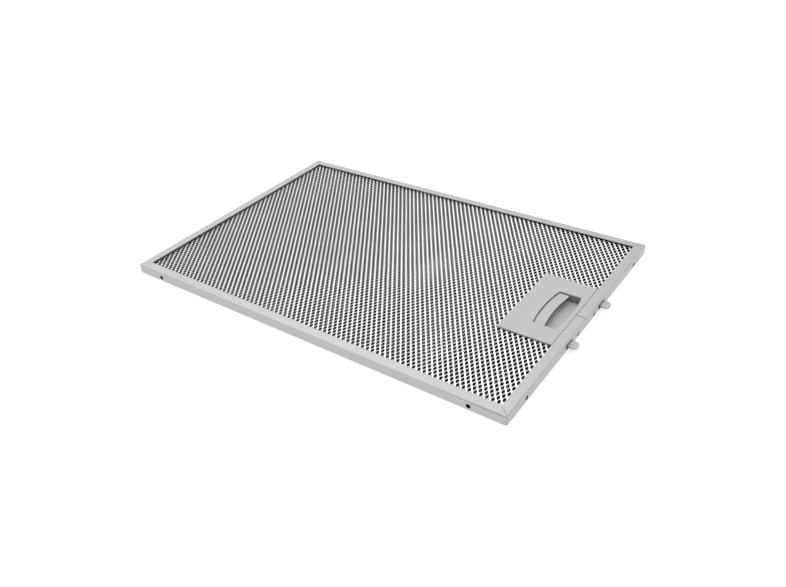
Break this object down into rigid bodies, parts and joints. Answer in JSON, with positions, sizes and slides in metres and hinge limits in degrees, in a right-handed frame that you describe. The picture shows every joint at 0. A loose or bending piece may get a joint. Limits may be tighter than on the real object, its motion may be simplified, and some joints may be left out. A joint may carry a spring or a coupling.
{
  "type": "cooker hood grease filter",
  "caption": "Flat aluminium grease filter for a cooker hood: channel frame, pack of expanded mesh, and a sprung finger latch whose tongues stand out of one short side.",
  "frame": {"origin": "centre of the frame's rear plane, under the middle of the mesh", "axes": "+X along the long side towards the latch, +Y along the latch side, +Z out of the front face, which carries the finger latch"},
  "size_m": [0.3876, 0.267, 0.009],
  "materials": {
    "frame_strip": "satin rolled strip",
    "outer_mesh": "bright, expanded and degreased",
    "inner_mesh": "bright foil, expanded",
    "latch_plastic": "fine spark-eroded grain",
    "spring_wire": "drawn wire"
  },
  "bodies": {
    "cassette": {"frame": "frame_strip", "rear_mesh": "outer_mesh", "inner_mesh_1": "inner_mesh", "inner_mesh_2": "inner_mesh", "inner_mesh_3": "inner_mesh", "front_mesh": "outer_mesh", "latch_cover": "latch_plastic", "latch_housing": "latch_plastic", "return_spring_left": "spring_wire", "return_spring_right": "spring_wire"},
    "latch": {"latch_slider": "latch_plastic"}
  },
  "joints": [
    {"name": "latch_slide", "type": "slide", "parent": "cassette", "child": "latch", "axis": [-1, 0, 0], "range_m": [0, 0.0076], "stiffness_N_per_m": 250, "springref_m": -0.003, "deforming": ["return_spring_left", "return_spring_right"]}
  ]
}
